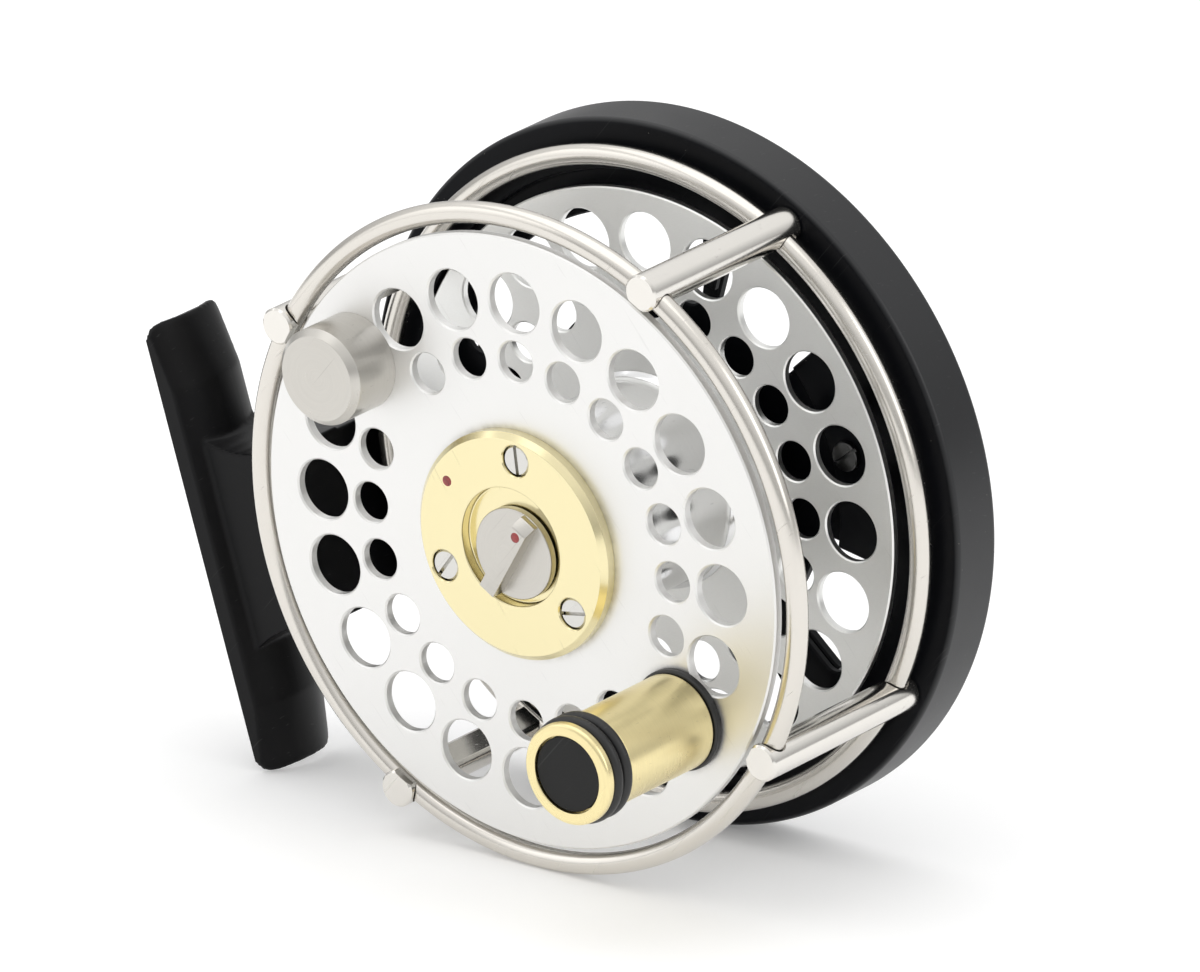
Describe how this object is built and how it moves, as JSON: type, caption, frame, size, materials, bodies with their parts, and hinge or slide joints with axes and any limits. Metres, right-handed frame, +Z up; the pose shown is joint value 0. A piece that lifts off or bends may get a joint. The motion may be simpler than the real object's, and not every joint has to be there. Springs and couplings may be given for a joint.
{
  "type": "fly reel",
  "caption": "Fly reel: perforated spool with a turning handle and a quick-release latch, in an open wire cage with a black back frame, a reel foot and a rear disc drag.",
  "frame": {"origin": "centre of the bounding box at its base, where the reel stands on its front ring, its rim and the end of its foot", "axes": "+X away from the foot, +Y from the handle side to the drag side, +Z up; the spin axis leans back about 5 degrees from Y"},
  "size_m": [0.1182, 0.071, 0.0972],
  "materials": {
    "wire": "satin, warm nickel tone",
    "fixings": "turned",
    "steel": "ground",
    "stainless": "satin, fine turning marks",
    "black": "satin black anodised",
    "flange": "satin clear anodised, near white",
    "rear_flange": "satin clear anodised",
    "drum": "polished",
    "plate": "polished pale brass",
    "grip": "satin turned brass",
    "seal": "black",
    "cap": "matte black",
    "disc": "cork composite"
  },
  "bodies": {
    "frame": {"front_ring": "wire", "rear_ring": "wire", "pillar_1": "wire", "pillar_2": "wire", "pillar_3": "wire", "pillar_4": "wire", "pillar_nut_1": "fixings", "pillar_nut_2": "fixings", "pillar_nut_3": "fixings", "pillar_nut_4": "fixings", "frame_rim": "black", "back_plate": "black", "plate_screw_1": "fixings", "plate_screw_2": "fixings", "plate_screw_3": "fixings", "reel_foot": "black", "foot_screw_1": "fixings", "foot_screw_2": "fixings", "drag_disc": "disc", "drag_spring": "steel", "drag_housing": "black", "housing_screw_1": "fixings", "housing_screw_2": "fixings", "housing_screw_3": "fixings"},
    "spindle": {"spindle": "steel", "pressure_plate": "steel"},
    "spool": {"spool_front_flange": "flange", "spool_rear_flange": "rear_flange", "spool_drum": "drum", "drum_screw_1": "fixings", "drum_screw_2": "fixings", "drum_screw_3": "fixings", "front_bearing": "steel", "rear_bearing": "steel", "bearing_spacer": "rear_flange", "hub_plate": "plate", "hub_screw_1": "fixings", "hub_screw_2": "fixings", "hub_screw_3": "fixings", "handle_washer": "seal", "handle_post": "steel", "handle_screw": "fixings", "counterweight": "stainless", "counterweight_screw": "fixings"},
    "handle": {"handle_grip": "grip", "grip_o_ring_1": "seal", "grip_o_ring_2": "seal", "handle_cap": "cap"},
    "release": {"release_knob": "stainless"},
    "latch": {"spool_latch": "steel"},
    "drag_knob": {"drag_knob": "black"}
  },
  "joints": [
    {"name": "spindle_drag", "type": "hinge", "parent": "frame", "child": "spindle", "pos_m": [0.01056, 0.01669, 0.04825], "axis": [0, -0.9955, -0.0945], "continuous": true},
    {"name": "spool_spin", "type": "hinge", "parent": "spindle", "child": "spool", "pos_m": [0.01056, -0.01318, 0.04541], "axis": [0, -0.9955, -0.0945], "continuous": true},
    {"name": "handle_spin", "type": "hinge", "parent": "spool", "child": "handle", "pos_m": [0.036, -0.02332, 0.02529], "axis": [0, -0.9955, -0.0945], "continuous": true},
    {"name": "release_turn", "type": "hinge", "parent": "spool", "child": "release", "pos_m": [0.01082, -0.01408, 0.04435], "axis": [0, -0.9955, -0.0945], "range_deg": [0, 85]},
    {"name": "latch_slide", "type": "slide", "parent": "spool", "child": "latch", "axis": [0.9643, -0.025, 0.2635], "range_m": [0, 0.002]},
    {"name": "drag_turn", "type": "hinge", "parent": "frame", "child": "drag_knob", "pos_m": [0.01056, 0.02664, 0.04919], "axis": [0, 0.9955, 0.0945], "range_deg": [0, 330]}
  ],
  "couplings": [
    {"joint": "latch_slide", "follows": "release_turn", "m_per_rad": 0.0013481}
  ]
}
